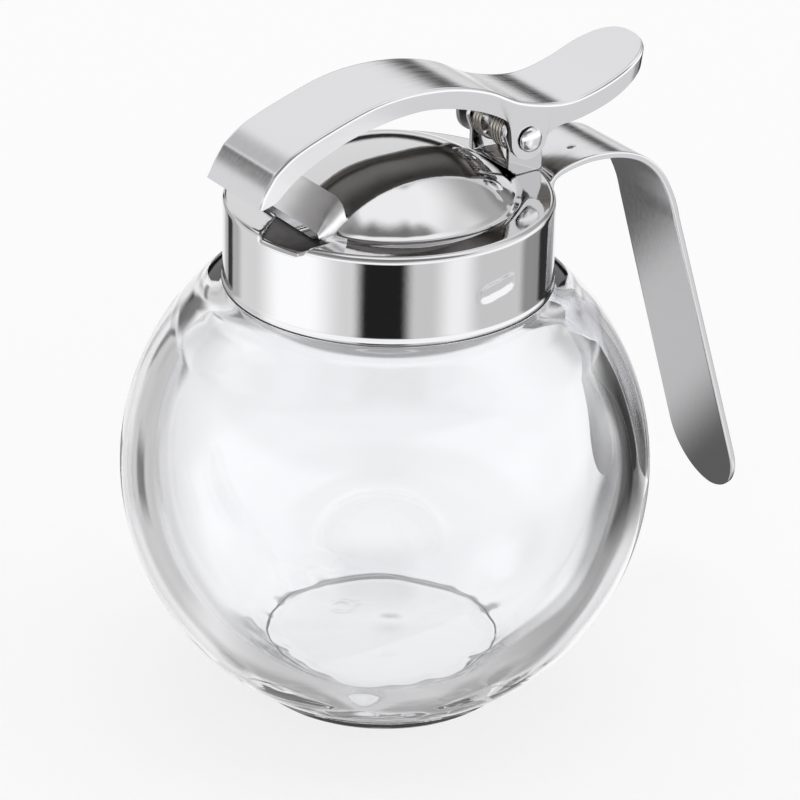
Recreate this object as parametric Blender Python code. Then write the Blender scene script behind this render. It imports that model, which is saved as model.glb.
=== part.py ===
"""Glass honey dispenser: a round glass jar, a polished steel lid with a thumb lever, and a strip handle."""

import math

import bmesh
import bpy
from mathutils import Vector

MM = 0.001

# jar, a thick glass globe with a short neck
GLOBE_RADIUS = 47.5
GLOBE_CENTRE_Z = 42.4
CAVITY_RADIUS = 41.4
FLOOR_Z = 7.0
FLOOR_RADIUS = 20.0
FOOT_RADIUS = 24.0
SHOULDER_Z = 77.3
NECK_RADIUS = 27.0
NECK_BORE = 24.0
NECK_TOP_Z = 92.6
THREAD_RADIUS = 27.8
ROUND_STEPS = 52

# lid, one pressed shell: collar, flat ring and centre dome
COLLAR_RADIUS = 29.15
COLLAR_BOTTOM_Z = 78.0
RING_Z = 94.7
DOME_RADIUS = 21.8
DOME_BASE_Z = 95.0
DOME_TOP_Z = 103.5
DOME_POWER = 2.4
SHEET = 0.6

# pouring slot through the ring, under the hood, as low and high corners in plan
SLOT_LOW = (-22.3, -9.6)
SLOT_HIGH = (-17.6, 9.6)

# the two pressed dimples in the collar's side
DIMPLE_ANGLES = (-83.5, 96.5)
DIMPLE_Z = 86.6
DIMPLE_TILT = 11.0
DIMPLE_BALL = (1.6, 8.0, 2.6)
DIMPLE_DEPTH = 0.42

# hinge line of the lever, parallel to Y
PIN_X = 23.7
PIN_Z = 102.3
PIN_RADIUS = 1.5
EAR_RADIUS = 3.8

# lever
LEVER_HALF_WIDTH = 8.5
LEVER_SHEET = 1.0

# (x, z) knots of the lever's side view: the back of the top from beak to thumb rest, and the skirt's lower edge
LEVER_BEAK = [(-32.3, 101.6), (-30.6, 104.7), (-29.1, 107.2)]
LEVER_TOP = [(-29.1, 107.2), (-25.0, 110.1), (-18.0, 112.8), (-9.0, 115.4), (-1.1, 116.1), (7.5, 115.3)]
LEVER_TOP += [(15.0, 113.1), (22.3, 109.5), (31.4, 107.6), (39.0, 108.9), (46.6, 112.1), (50.6, 114.1)]
SKIRT_BACK = [(50.6, 111.6), (46.8, 108.6), (40.7, 105.5), (34.7, 103.9), (30.1, 103.4), (28.0, 102.5)]
SKIRT_FRONT = [(20.2, 105.5), (17.8, 107.4), (11.5, 110.3), (3.0, 112.3), (-4.6, 112.3), (-12.4, 111.0)]
SKIRT_FRONT += [(-18.7, 108.9), (-24.2, 106.2), (-27.0, 104.1), (-29.1, 102.3), (-31.6, 101.4)]

# handle strip
HANDLE_THICK = 1.2
HANDLE_HALF_WIDTH = 8.5
HANDLE_TIP_HALF_WIDTH = 9.2
HANDLE_ROOT = [(29.5, 84.5), (29.5, 88.0), (29.5, 91.8)]
HANDLE_BEND = [(29.5, 91.8), (30.1, 94.1), (32.6, 95.3), (38.1, 96.0), (44.3, 95.3), (49.6, 93.2), (53.8, 89.3)]
HANDLE_BEND += [(56.8, 83.7), (58.3, 78.8)]
HANDLE_GRIP_END = (73.2, 28.2)
HANDLE_TIP_LENGTH = 10.9

# spout hood, a small roof over the pouring slot, sloping down to the front
HOOD_HALF_WIDTH = 11.0
HOOD_CORNER = 1.5
HOOD_ROOF = [(-21.9, 95.75), (-21.5, 96.05), (-20.4, 97.1), (-19.3, 98.1), (-18.2, 99.15), (-17.0, 100.25)]

# colours of the materials
STEEL_POLISHED = (0.80, 0.80, 0.81, 1.0)
STEEL_SATIN = (0.72, 0.72, 0.73, 1.0)
STEEL_SPRING = (0.45, 0.44, 0.42, 1.0)
GLASS_CLEAR = (0.93, 0.96, 0.97, 1.0)


def clear_scene():
    for old in list(bpy.data.objects):
        bpy.data.objects.remove(old, do_unlink=True)


def make_material(name, colour, metallic, roughness, glass=False):
    material = bpy.data.materials.new(name)
    material.use_nodes = True
    shader = material.node_tree.nodes["Principled BSDF"]
    shader.inputs["Base Color"].default_value = colour
    shader.inputs["Metallic"].default_value = metallic
    shader.inputs["Roughness"].default_value = roughness
    if glass:
        shader.inputs["Transmission Weight"].default_value = 1.0
        shader.inputs["IOR"].default_value = 1.5
    return material


def add_object(name, bm, material, smooth=True):
    bmesh.ops.remove_doubles(bm, verts=bm.verts, dist=0.00001)
    bmesh.ops.recalc_face_normals(bm, faces=bm.faces)
    mesh = bpy.data.meshes.new(name)
    bm.to_mesh(mesh)
    bm.free()
    obj = bpy.data.objects.new(name, mesh)
    bpy.context.scene.collection.objects.link(obj)
    if material:
        mesh.materials.append(material)
    if smooth:
        for face in mesh.polygons:
            face.use_smooth = True
    return obj


def cut(target, cutter, operation="DIFFERENCE"):
    cutter.hide_render = True
    cutter.display_type = "WIRE"
    mod = target.modifiers.new(cutter.name, "BOOLEAN")
    mod.operation = operation
    mod.solver = "EXACT"
    mod.object = cutter


def apply_modifiers(obj):
    depsgraph = bpy.context.evaluated_depsgraph_get()
    mesh = bpy.data.meshes.new_from_object(obj.evaluated_get(depsgraph))
    obj.modifiers.clear()
    obj.data = mesh


def remove(*objects):
    for obj in objects:
        bpy.data.objects.remove(obj, do_unlink=True)


def turned(profile, steps=ROUND_STEPS):
    """Turns a closed (radius, height) outline in mm about the Z axis."""
    bm = bmesh.new()
    rings = []
    for radius, height in profile:
        if radius < 1e-6:
            rings.append([bm.verts.new((0.0, 0.0, height * MM))])
            continue
        ring = []
        for i in range(steps):
            a = 2 * math.pi * i / steps
            ring.append(bm.verts.new((radius * MM * math.cos(a), radius * MM * math.sin(a), height * MM)))
        rings.append(ring)
    count = len(rings)
    for k in range(count):
        low = rings[k]
        high = rings[(k + 1) % count]
        if len(low) == 1 and len(high) == 1:
            continue
        for i in range(steps):
            j = (i + 1) % steps
            if len(low) == 1:
                bm.faces.new((low[0], high[i], high[j]))
            elif len(high) == 1:
                bm.faces.new((low[i], low[j], high[0]))
            else:
                bm.faces.new((low[i], low[j], high[j], high[i]))
    return bm


def prism(outline, low, high, axis="Y"):
    """Pushes a flat (a, b) outline in mm along an axis: (x, z) along Y, or (x, y) along Z."""
    bm = bmesh.new()
    ends = []
    for level in (low, high):
        row = []
        for a, b in outline:
            place = (a, level, b) if axis == "Y" else (a, b, level)
            row.append(bm.verts.new(Vector(place) * MM))
        ends.append(row)
    bm.faces.new(ends[0])
    bm.faces.new(list(reversed(ends[1])))
    n = len(outline)
    for i in range(n):
        j = (i + 1) % n
        bm.faces.new((ends[0][i], ends[0][j], ends[1][j], ends[1][i]))
    return bm


def rod(radius, low, high, x, z, steps=24):
    """A round bar along Y."""
    outline = []
    for i in range(steps):
        a = 2 * math.pi * i / steps
        outline.append((x + radius * math.cos(a), z + radius * math.sin(a)))
    return prism(outline, low, high)


def arc(cx, cz, radius, start, end, steps):
    points = []
    for i in range(steps + 1):
        a = math.radians(start + (end - start) * i / steps)
        points.append((cx + radius * math.cos(a), cz + radius * math.sin(a)))
    return points


def shift_outline(points, distance):
    """Moves an open (x, z) line sideways, to the right of its direction."""
    out = []
    for i, (x, z) in enumerate(points):
        ax, az = points[max(i - 1, 0)]
        bx, bz = points[min(i + 1, len(points) - 1)]
        length = math.hypot(bx - ax, bz - az)
        out.append((x + (bz - az) / length * distance, z - (bx - ax) / length * distance))
    return out


def smooth_line(knots, steps):
    """A smooth (x, z) line through its knots, with the same number of steps between each two."""
    line = []
    last = len(knots) - 1
    for i in range(last):
        p0 = knots[max(i - 1, 0)]
        p1 = knots[i]
        p2 = knots[i + 1]
        p3 = knots[min(i + 2, last)]
        for k in range(steps):
            t = k / steps
            point = []
            for a, b, c, d in zip(p0, p1, p2, p3):
                point.append(0.5 * (2 * b + (c - a) * t + (2 * a - 5 * b + 4 * c - d) * t * t
                                    + (3 * b - a - 3 * c + d) * t ** 3))
            line.append(tuple(point))
    line.append(knots[-1])
    return line


def grid_sheet(rows_a, rows_b):
    """Closes two grids of points, front and back, into one sheet."""
    bm = bmesh.new()
    va = [[bm.verts.new(Vector(p) * MM) for p in row] for row in rows_a]
    vb = [[bm.verts.new(Vector(p) * MM) for p in row] for row in rows_b]
    n = len(va)
    m = len(va[0])
    for i in range(n - 1):
        for j in range(m - 1):
            bm.faces.new((va[i][j], va[i][j + 1], va[i + 1][j + 1], va[i + 1][j]))
            bm.faces.new((vb[i][j], vb[i + 1][j], vb[i + 1][j + 1], vb[i][j + 1]))
    for i in range(n - 1):
        for j in (0, m - 1):
            bm.faces.new((va[i][j], va[i + 1][j], vb[i + 1][j], vb[i][j]))
    for j in range(m - 1):
        for i in (0, n - 1):
            bm.faces.new((va[i][j], vb[i][j], vb[i][j + 1], va[i][j + 1]))
    return bm


def build_jar():
    outer = [(0.0, 0.0), (12.0, 0.0), (23.2, 0.0), (FOOT_RADIUS, 0.4), (24.3, 1.1), (24.9, 1.6)]
    first = math.degrees(math.asin((2.6 - GLOBE_CENTRE_Z) / GLOBE_RADIUS))
    last = math.degrees(math.asin((75.6 - GLOBE_CENTRE_Z) / GLOBE_RADIUS))
    for i in range(19):
        a = math.radians(first + (last - first) * i / 18)
        outer.append((GLOBE_RADIUS * math.cos(a), GLOBE_CENTRE_Z + GLOBE_RADIUS * math.sin(a)))
    outer += [(32.6, 76.7), (31.2, SHOULDER_Z), (29.3, SHOULDER_Z + 0.1), (NECK_RADIUS + 0.5, SHOULDER_Z + 0.3)]
    outer += [(NECK_RADIUS, SHOULDER_Z + 1.0), (NECK_RADIUS, 84.0), (THREAD_RADIUS, 84.7), (THREAD_RADIUS, 85.7)]
    outer += [(NECK_RADIUS, 86.4), (NECK_RADIUS, NECK_TOP_Z - 0.8), (NECK_RADIUS - 0.8, NECK_TOP_Z)]
    inner = [(NECK_BORE + 0.8, NECK_TOP_Z), (NECK_BORE, NECK_TOP_Z - 0.8), (NECK_BORE, 78.6), (24.6, 76.6)]
    first = math.degrees(math.acos(26.0 / CAVITY_RADIUS))
    last = math.degrees(math.asin((FLOOR_Z + 1.4 - GLOBE_CENTRE_Z) / CAVITY_RADIUS))
    for i in range(16):
        a = math.radians(first + (last - first) * i / 15)
        inner.append((CAVITY_RADIUS * math.cos(a), GLOBE_CENTRE_Z + CAVITY_RADIUS * math.sin(a)))
    inner += [(22.0, FLOOR_Z + 0.6), (FLOOR_RADIUS, FLOOR_Z), (10.0, FLOOR_Z), (0.0, FLOOR_Z)]
    glass = make_material("glass_clear", GLASS_CLEAR, 0.0, 0.02, glass=True)
    return add_object("jar", turned(outer + inner), glass)


def dome_height(radius):
    rise = DOME_TOP_Z - DOME_BASE_Z
    return DOME_BASE_Z + rise * (1 - (radius / DOME_RADIUS) ** DOME_POWER)


def build_lid():
    outer = []
    for i in range(11):
        radius = DOME_RADIUS * i / 10
        outer.append((radius, dome_height(radius)))
    outer += [(22.6, 94.78), (23.2, RING_Z), (27.9, RING_Z)]
    outer += arc(COLLAR_RADIUS - 1.2, RING_Z - 1.2, 1.2, 72, 0, 4)
    outer += [(COLLAR_RADIUS, 79.5), (29.35, 79.1), (29.3, 78.4), (28.9, COLLAR_BOTTOM_Z)]
    inner = [(28.3, COLLAR_BOTTOM_Z), (28.5, 78.8), (28.55, 79.8), (28.55, 93.4), (28.2, RING_Z - SHEET - 0.2)]
    inner += [(27.7, RING_Z - SHEET), (23.3, RING_Z - SHEET), (22.2, RING_Z - SHEET + 0.1)]
    for i in range(8, -1, -1):
        radius = 21.2 * i / 8
        inner.append((radius, dome_height(radius * 1.022) - SHEET))
    steel = make_material("lid_polished_steel", STEEL_POLISHED, 1.0, 0.08)
    lid = add_object("lid", turned(outer + inner), steel)
    (x0, y0), (x1, y1) = SLOT_LOW, SLOT_HIGH
    slot_plan = [(x0, y0), (x1, y0), (x1, y1), (x0, y1)]
    slot = add_object("pour_slot_cutter", prism(slot_plan, 92.0, 101.0, "Z"), None)
    cut(lid, slot)
    tools = [slot]
    for angle in DIMPLE_ANGLES:
        bm = bmesh.new()
        bmesh.ops.create_uvsphere(bm, u_segments=16, v_segments=8, radius=1.0)
        for v in bm.verts:
            v.co = Vector([c * r * MM for c, r in zip(v.co, DIMPLE_BALL)])
        dimple = add_object("dimple_cutter", bm, None)
        a = math.radians(angle)
        reach = (COLLAR_RADIUS - DIMPLE_DEPTH + DIMPLE_BALL[0]) * MM
        dimple.location = (reach * math.cos(a), reach * math.sin(a), DIMPLE_Z * MM)
        dimple.rotation_euler = (math.radians(DIMPLE_TILT), 0.0, a)
        cut(lid, dimple)
        tools.append(dimple)
    bpy.context.view_layer.update()
    apply_modifiers(lid)
    remove(*tools)
    return lid


def lid_surface(radius):
    if radius > 23.2:
        return RING_Z
    if radius > DOME_RADIUS:
        return DOME_BASE_Z
    return dome_height(radius)


def hood_row(x, roof, inset, foot_gap):
    """One cross-section of the hood, from the foot of one side wall over the roof to the other."""
    half = HOOD_HALF_WIDTH - inset
    foot = lid_surface(math.hypot(x, HOOD_HALF_WIDTH)) + foot_gap
    top = roof
    corner = min(HOOD_CORNER - inset, (top - foot) * 0.8)
    side = [(half, foot), (half, (foot + top - corner) / 2), (half, top - corner)]
    side += [(half - corner * 0.3, top - corner * 0.3), (half - corner, top), (half * 0.4, top)]
    left = [(x, -y, z) for y, z in side]
    right = [(x, y, z) for y, z in reversed(side)]
    return left + right


def build_hood():
    """The small roof over the pouring slot, open at the front and closed at the back."""
    rows_top = []
    rows_low = []
    for x, z in HOOD_ROOF:
        rows_top.append(hood_row(x, z, 0.0, 0.35))
        rows_low.append(hood_row(x + 0.35, z - 0.2, SHEET, 0.35))
    back_x, back_z = HOOD_ROOF[-1]
    rows_low[-1] = hood_row(back_x, back_z - 0.62, SHEET, 0.35)
    for x, rows in ((back_x + 0.6, rows_top), (back_x + 0.05, rows_low)):
        row = []
        for _, y, z in rows[-1]:
            row.append((x, y, min(lid_surface(math.hypot(x, y)) + 0.35, z - 0.1)))
        rows.append(row)
    steel = make_material("hood_satin_steel", STEEL_SATIN, 1.0, 0.22)
    return add_object("spout_hood", grid_sheet(rows_top, rows_low), steel)


def build_bracket():
    steel = make_material("bracket_steel", STEEL_POLISHED, 1.0, 0.16)
    side = [(22.9, 95.1), (28.4, 95.1), (28.4, 98.0)]
    side += arc(PIN_X, PIN_Z, 3.5, -12, 178, 12)
    side += [(21.1, 100.0), (21.1, 96.2), (21.9, 95.6)]
    block = add_object("hinge_bracket", prism(side, -6.1, 6.1), steel, smooth=False)
    hollow = [(15.0, 96.2), (35.0, 96.2), (35.0, 110.0), (15.0, 110.0)]
    gap = add_object("bracket_gap_cutter", prism(hollow, -5.1, 5.1), None)
    bore = add_object("bracket_bore_cutter", rod(PIN_RADIUS + 0.3, -9.0, 9.0, PIN_X, PIN_Z), None)
    cut(block, gap)
    cut(block, bore)
    bpy.context.view_layer.update()
    apply_modifiers(block)
    remove(gap, bore)
    return block


def build_pin():
    """A shaft along Y with a domed head at each end, outside the lever's ears."""
    half = LEVER_HALF_WIDTH
    outline = [(0.0, -half - 1.55), (1.0, -half - 1.45), (1.75, -half - 1.1), (2.2, -half - 0.6), (2.3, -half - 0.3)]
    outline += [(PIN_RADIUS, -half - 0.3), (PIN_RADIUS, half + 0.3), (2.3, half + 0.3), (2.2, half + 0.6)]
    outline += [(1.75, half + 1.1), (1.0, half + 1.45), (0.0, half + 1.55)]
    bm = turned(outline, 24)
    for v in bm.verts:
        x, y, z = v.co
        v.co = (PIN_X * MM + x, z, PIN_Z * MM + y)
    steel = make_material("pin_steel", STEEL_POLISHED, 1.0, 0.12)
    return add_object("hinge_pin", bm, steel)


def build_spring():
    """Two coils round the pin, joined by a bridge, with a leg down to the bracket at each end."""
    coil = 3.3
    wire = 0.38
    path = []
    turns = 3.5
    steps = 14
    spans = ((4.3, 1.3), (-1.3, -4.3))
    for which, (y0, y1) in enumerate(spans):
        total = int(turns * steps)
        start = math.radians(-90 if which == 0 else 90)
        for i in range(total + 1):
            a = start + 2 * math.pi * i / steps
            y = y0 + (y1 - y0) * i / total
            path.append(Vector((PIN_X + coil * math.cos(a), y, PIN_Z + coil * math.sin(a))))
    path.insert(0, Vector((PIN_X + 2.9, 4.3, PIN_Z - coil)))
    path.append(Vector((PIN_X + 2.9, -4.3, PIN_Z - coil)))
    sides = 6
    bm = bmesh.new()
    rings = []
    previous = None
    for i, point in enumerate(path):
        ahead = path[min(i + 1, len(path) - 1)]
        behind = path[max(i - 1, 0)]
        along = (ahead - behind).normalized()
        guide = Vector((0, 1, 0)) if previous is None else previous
        across = (guide - along * guide.dot(along)).normalized()
        previous = across
        third = along.cross(across)
        ring = []
        for k in range(sides):
            a = 2 * math.pi * k / sides
            ring.append(bm.verts.new((point + across * wire * math.cos(a) + third * wire * math.sin(a)) * MM))
        rings.append(ring)
    for low, high in zip(rings, rings[1:]):
        for k in range(sides):
            n = (k + 1) % sides
            bm.faces.new((low[k], low[n], high[n], high[k]))
    bm.faces.new(rings[0])
    bm.faces.new(list(reversed(rings[-1])))
    steel = make_material("spring_wire", STEEL_SPRING, 1.0, 0.35)
    return add_object("return_spring", bm, steel)


def build_handle():
    """A flat strip: held to the back of the collar, over a bend at the top, and down to a round tip."""
    line = HANDLE_ROOT[:-1] + smooth_line(HANDLE_BEND, 3)
    start_x, start_z = line[-1]
    foot_x, foot_z = HANDLE_GRIP_END
    length = math.hypot(foot_x - start_x, foot_z - start_z)
    down_x = (foot_x - start_x) / length
    down_z = (foot_z - start_z) / length
    for i in range(1, 7):
        line.append((start_x + down_x * length * i / 6, start_z + down_z * length * i / 6))
    tip = HANDLE_TIP_LENGTH
    for i in range(1, 9):
        reach = tip * math.sin(math.radians(90 * i / 8.35))
        line.append((foot_x + down_x * reach, foot_z + down_z * reach))
    back = shift_outline(line, HANDLE_THICK)
    rows_a = []
    rows_b = []
    across = [-1.0, -0.72, -0.36, 0.0, 0.36, 0.72, 1.0]
    for (ax, az), (bx, bz) in zip(line, back):
        grow = min(max((80.0 - az) / 50.0, 0.0), 1.0)
        half = HANDLE_HALF_WIDTH + (HANDLE_TIP_HALF_WIDTH - HANDLE_HALF_WIDTH) * grow
        if az < foot_z:
            reach = math.hypot(ax - foot_x, az - foot_z) / tip
            half *= math.sqrt(max(1 - reach * reach, 0.0))
        bend = min(max((95.2 - az) / 2.6, 0.0), 1.0) if ax < 34 else 0.0
        row_a = []
        row_b = []
        for u in across:
            y = u * half
            pull = (math.sqrt(29.5 ** 2 - y * y) - 29.5) * bend
            row_a.append((ax + pull, y, az))
            row_b.append((bx + pull, y, bz))
        rows_a.append(row_a)
        rows_b.append(row_b)
    steel = make_material("handle_satin_steel", STEEL_SATIN, 1.0, 0.2)
    return add_object("handle", grid_sheet(rows_a, rows_b), steel)


def lever_outline(inset):
    """The lever seen from above, with its rounded thumb end."""
    half = LEVER_HALF_WIDTH - inset
    start = 41.5
    reach = 9.2 - inset
    points = [(-40.0, -half), (start, -half)]
    for i in range(1, 16):
        a = -90 + 180 * i / 16
        c = math.cos(math.radians(a))
        s = math.sin(math.radians(a))
        x = start + reach * abs(c) ** 0.8
        y = half * math.copysign(abs(s) ** 0.8, s)
        points.append((x, y))
    points += [(start, half), (-40.0, half)]
    return points


def build_lever():
    """A pressed channel: curved top, skirts at the sides, two ears for the pin."""
    ear = arc(PIN_X, PIN_Z, EAR_RADIUS, 8, -214, 20)
    top = smooth_line(LEVER_BEAK, 2)[:-1] + smooth_line(LEVER_TOP, 3)
    side = top + smooth_line(SKIRT_BACK, 2) + ear + smooth_line(SKIRT_FRONT, 2)
    steel = make_material("lever_satin_steel", STEEL_SATIN, 1.0, 0.2)
    lever = add_object("lever", prism(side, -LEVER_HALF_WIDTH - 0.5, LEVER_HALF_WIDTH + 0.5), steel, smooth=False)
    plan = add_object("lever_plan_cutter", prism(lever_outline(0.0), 80.0, 130.0, "Z"), None)
    cut(lever, plan, "INTERSECT")
    inner_top = shift_outline(smooth_line(LEVER_TOP, 3)[1:], LEVER_SHEET)
    front = [(-30.4, 90.0), (-30.4, 102.9), (-29.4, 104.9), (-28.3, 106.5)]
    hollow_side = front + inner_top + [(53.0, 114.2), (53.0, 90.0)]
    hollow = add_object("lever_hollow_cutter", prism(hollow_side, -20.0, 20.0), None)
    inner_plan = add_object("lever_inner_plan_cutter", prism(lever_outline(LEVER_SHEET), 80.0, 130.0, "Z"), None)
    cut(hollow, inner_plan, "INTERSECT")
    bpy.context.view_layer.update()
    apply_modifiers(hollow)
    cut(lever, hollow)
    bore = add_object("lever_bore_cutter", rod(PIN_RADIUS + 0.3, -12.0, 12.0, PIN_X, PIN_Z), None)
    cut(lever, bore)
    bpy.context.view_layer.update()
    apply_modifiers(lever)
    remove(plan, hollow, inner_plan, bore)
    pin = Vector((PIN_X, 0.0, PIN_Z)) * MM
    for v in lever.data.vertices:
        v.co -= pin
    lever.location = pin
    return lever


clear_scene()
build_jar()
build_lid()
build_hood()
build_bracket()
build_pin()
build_spring()
build_handle()
build_lever()
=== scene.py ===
import math

import bmesh
import bpy
from mathutils import Matrix, Vector


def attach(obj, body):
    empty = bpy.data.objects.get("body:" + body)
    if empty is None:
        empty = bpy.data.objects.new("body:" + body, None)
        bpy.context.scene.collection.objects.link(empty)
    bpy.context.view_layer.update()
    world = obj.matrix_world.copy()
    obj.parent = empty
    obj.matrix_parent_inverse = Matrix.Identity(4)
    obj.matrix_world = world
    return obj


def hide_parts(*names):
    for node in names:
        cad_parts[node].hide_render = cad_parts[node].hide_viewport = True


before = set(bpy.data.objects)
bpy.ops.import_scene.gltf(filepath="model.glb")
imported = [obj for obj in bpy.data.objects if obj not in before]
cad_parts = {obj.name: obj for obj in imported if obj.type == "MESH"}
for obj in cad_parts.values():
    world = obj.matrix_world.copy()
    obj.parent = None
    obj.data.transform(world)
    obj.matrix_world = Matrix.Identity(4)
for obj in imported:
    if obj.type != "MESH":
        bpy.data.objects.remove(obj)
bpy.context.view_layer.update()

mm = 0.001
print("frame:", ", ".join(sorted(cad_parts)))


# camera, set up as the product photograph was taken
photoCamera = {
    "azimuth": -34.7,       # degrees, 0 looks along +Y
    "elevation": 25.909,
    "roll": 1.059,
    "distance": 0.8,
    "lens": 200.49,         # mm, as the sensor below
    "aim": (0.0, 0.0, 0.0424),
    "aimRight": 0.002694,   # the globe stands a little left of the picture's centre
    "aimUp": 0.010595,      # and a little below it
    "sensor": 36.0,
    "nearest": 0.05,
}


def cameraAxes(look):
    az = math.radians(look["azimuth"])
    el = math.radians(look["elevation"])
    roll = math.radians(look["roll"])
    back = Vector((math.sin(az) * math.cos(el), -math.cos(az) * math.cos(el), math.sin(el)))
    right = Vector((math.cos(az), math.sin(az), 0.0))
    up = back.cross(right)
    turnedRight = right * math.cos(roll) + up * math.sin(roll)
    turnedUp = up * math.cos(roll) - right * math.sin(roll)
    return turnedRight, turnedUp, back


def addCamera(look):
    right, up, back = cameraAxes(look)
    target = Vector(look["aim"]) + right * look["aimRight"] + up * look["aimUp"]
    camera = bpy.data.objects.new("photoCamera", bpy.data.cameras.new("photoCamera"))
    bpy.context.scene.collection.objects.link(camera)
    camera.data.lens = look["lens"]
    camera.data.sensor_width = look["sensor"]
    camera.data.clip_start = look["nearest"]
    turn = Matrix((right, up, back)).transposed().to_4x4()
    camera.matrix_world = Matrix.Translation(target + back * look["distance"]) @ turn
    bpy.context.scene.camera = camera


addCamera(photoCamera)
print("camera set")


# studio: what steel and glass see round them
# around is in degrees from the camera's own side, positive to its right; up is the angle above
# the horizon; each panel lies over those before it
noEdge = 400.0      # past every angle, so a panel has no edge there
allRound = (-noEdge, noEdge)
studio = {
    "plain": 0.55,
    "backdrop": 1.0,        # what the camera itself sees
    "panels": [
        # low light all round
        {"around": allRound, "up": (0, 19), "soft": (10, 10), "light": 0.75},
        # white wall on the right and grey wall on the left
        {"around": (14, 112), "up": (4, 50), "soft": (24, 20), "light": 1.05},
        {"around": (-134, -22), "up": (3, 62), "soft": (20, 14), "light": 0.55},
        # large softbox to the right rear, and its part overhead
        {"around": (66, 156), "up": (53, noEdge), "soft": (14, 34), "light": 1.24},
        {"around": allRound, "up": (72, noEdge), "soft": (20, 6), "light": 1.22},
        # dark ceiling above the camera
        {"around": (-75, 70), "up": (36, 69), "soft": (24, 8), "light": 0.28},
        {"around": (-50, 50), "up": (60, 77), "soft": (30, 9), "light": 0.24},
        # a small light for the hood, and a dark door to the right rear
        {"around": (-120, -96), "up": (29, 45), "soft": (4, 7), "light": 1.15},
        {"around": (132, 156), "up": (5, 27), "soft": (10, 8), "light": 0.36},
        # light strip round the table, with the dark patch that the beak's crease mirrors
        {"around": (-94, 125), "up": (-16, 17), "soft": (24, 10), "light": 1.35},
        {"around": (-134, -94), "up": (-16, 14), "soft": (20, 10), "light": 0.85},
        {"around": (-120, -107), "up": (16, 28), "soft": (7, 8), "light": 0.20},
        # wall behind, with the dark edge of the table
        {"around": (156, noEdge), "up": (-3, 52), "soft": (14, 14), "light": 0.95},
        {"around": (-noEdge, -134), "up": (-3, 52), "soft": (14, 14), "light": 0.95},
        {"around": (150, noEdge), "up": (5, 15), "soft": (14, 5), "light": 0.03},
        {"around": (-noEdge, -150), "up": (5, 15), "soft": (14, 5), "light": 0.03},
        # table, brightest to the left
        {"around": allRound, "up": (-noEdge, -10), "soft": (10, 10), "light": 0.99},
        {"around": (-128, -20), "up": (-noEdge, -14), "soft": (16, 8), "light": 0.92},
        {"around": (-92, -42), "up": (-noEdge, -14), "soft": (28, 8), "light": 1.42},
        {"around": (8, 125), "up": (-38, -12), "soft": (6, 10), "light": 0.80},
        {"around": (38, 60), "up": (-38, -12), "soft": (18, 10), "light": 1.25},
        {"around": (106, 140), "up": (-38, -12), "soft": (10, 10), "light": 0.38},
        # the dark below the camera
        {"around": (-20, 14), "up": (-42, -14), "soft": (11, 8), "light": 0.02},
        # straight below, and the ring of shade behind the jar
        {"around": allRound, "up": (-noEdge, -52), "soft": (10, 20), "light": 0.62},
        {"around": (148, noEdge), "up": (-64, -43), "soft": (16, 8), "light": 0.40},
        {"around": (-noEdge, -148), "up": (-64, -43), "soft": (16, 8), "light": 0.40},
        # grey gap to the left rear
        {"around": (-156, -124), "up": (-46, 4), "soft": (10, 12), "light": 0.56},
        {"around": (-147, -137), "up": (-29, -20), "soft": (4, 6), "light": 0.05},
        {"around": (-153, -149), "up": (-17, 2), "soft": (3, 5), "lean": -0.4, "light": 0.06},
        # darker gap to the right rear
        {"around": (120, 152), "up": (-56, -20), "soft": (8, 16), "light": 0.36},
        {"around": (128, 155), "up": (-31, -2), "soft": (6, 8), "light": 0.04},
    ],
}


def addNode(tree, kind, **values):
    node = tree.nodes.new(kind)
    for name, value in values.items():
        setattr(node, name, value)
    return node


def addMath(tree, operation, first, second=None):
    node = addNode(tree, "ShaderNodeMath", operation=operation)
    for slotIndex, value in enumerate((first, second)):
        if value is None:
            continue
        if isinstance(value, (int, float)):
            node.inputs[slotIndex].default_value = value
        else:
            tree.links.new(value, node.inputs[slotIndex])
    return node.outputs[0]


def addStep(tree, value, middle, soft):
    node = addNode(tree, "ShaderNodeMapRange", interpolation_type="SMOOTHSTEP", clamp=True)
    node.inputs["From Min"].default_value = middle - soft / 2
    node.inputs["From Max"].default_value = middle + soft / 2
    tree.links.new(value, node.inputs["Value"])
    return node.outputs[0]


def addBand(tree, value, low, high, soft):
    rising = addStep(tree, value, low, soft)
    falling = addStep(tree, value, high, soft)
    return addMath(tree, "SUBTRACT", rising, falling)


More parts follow.
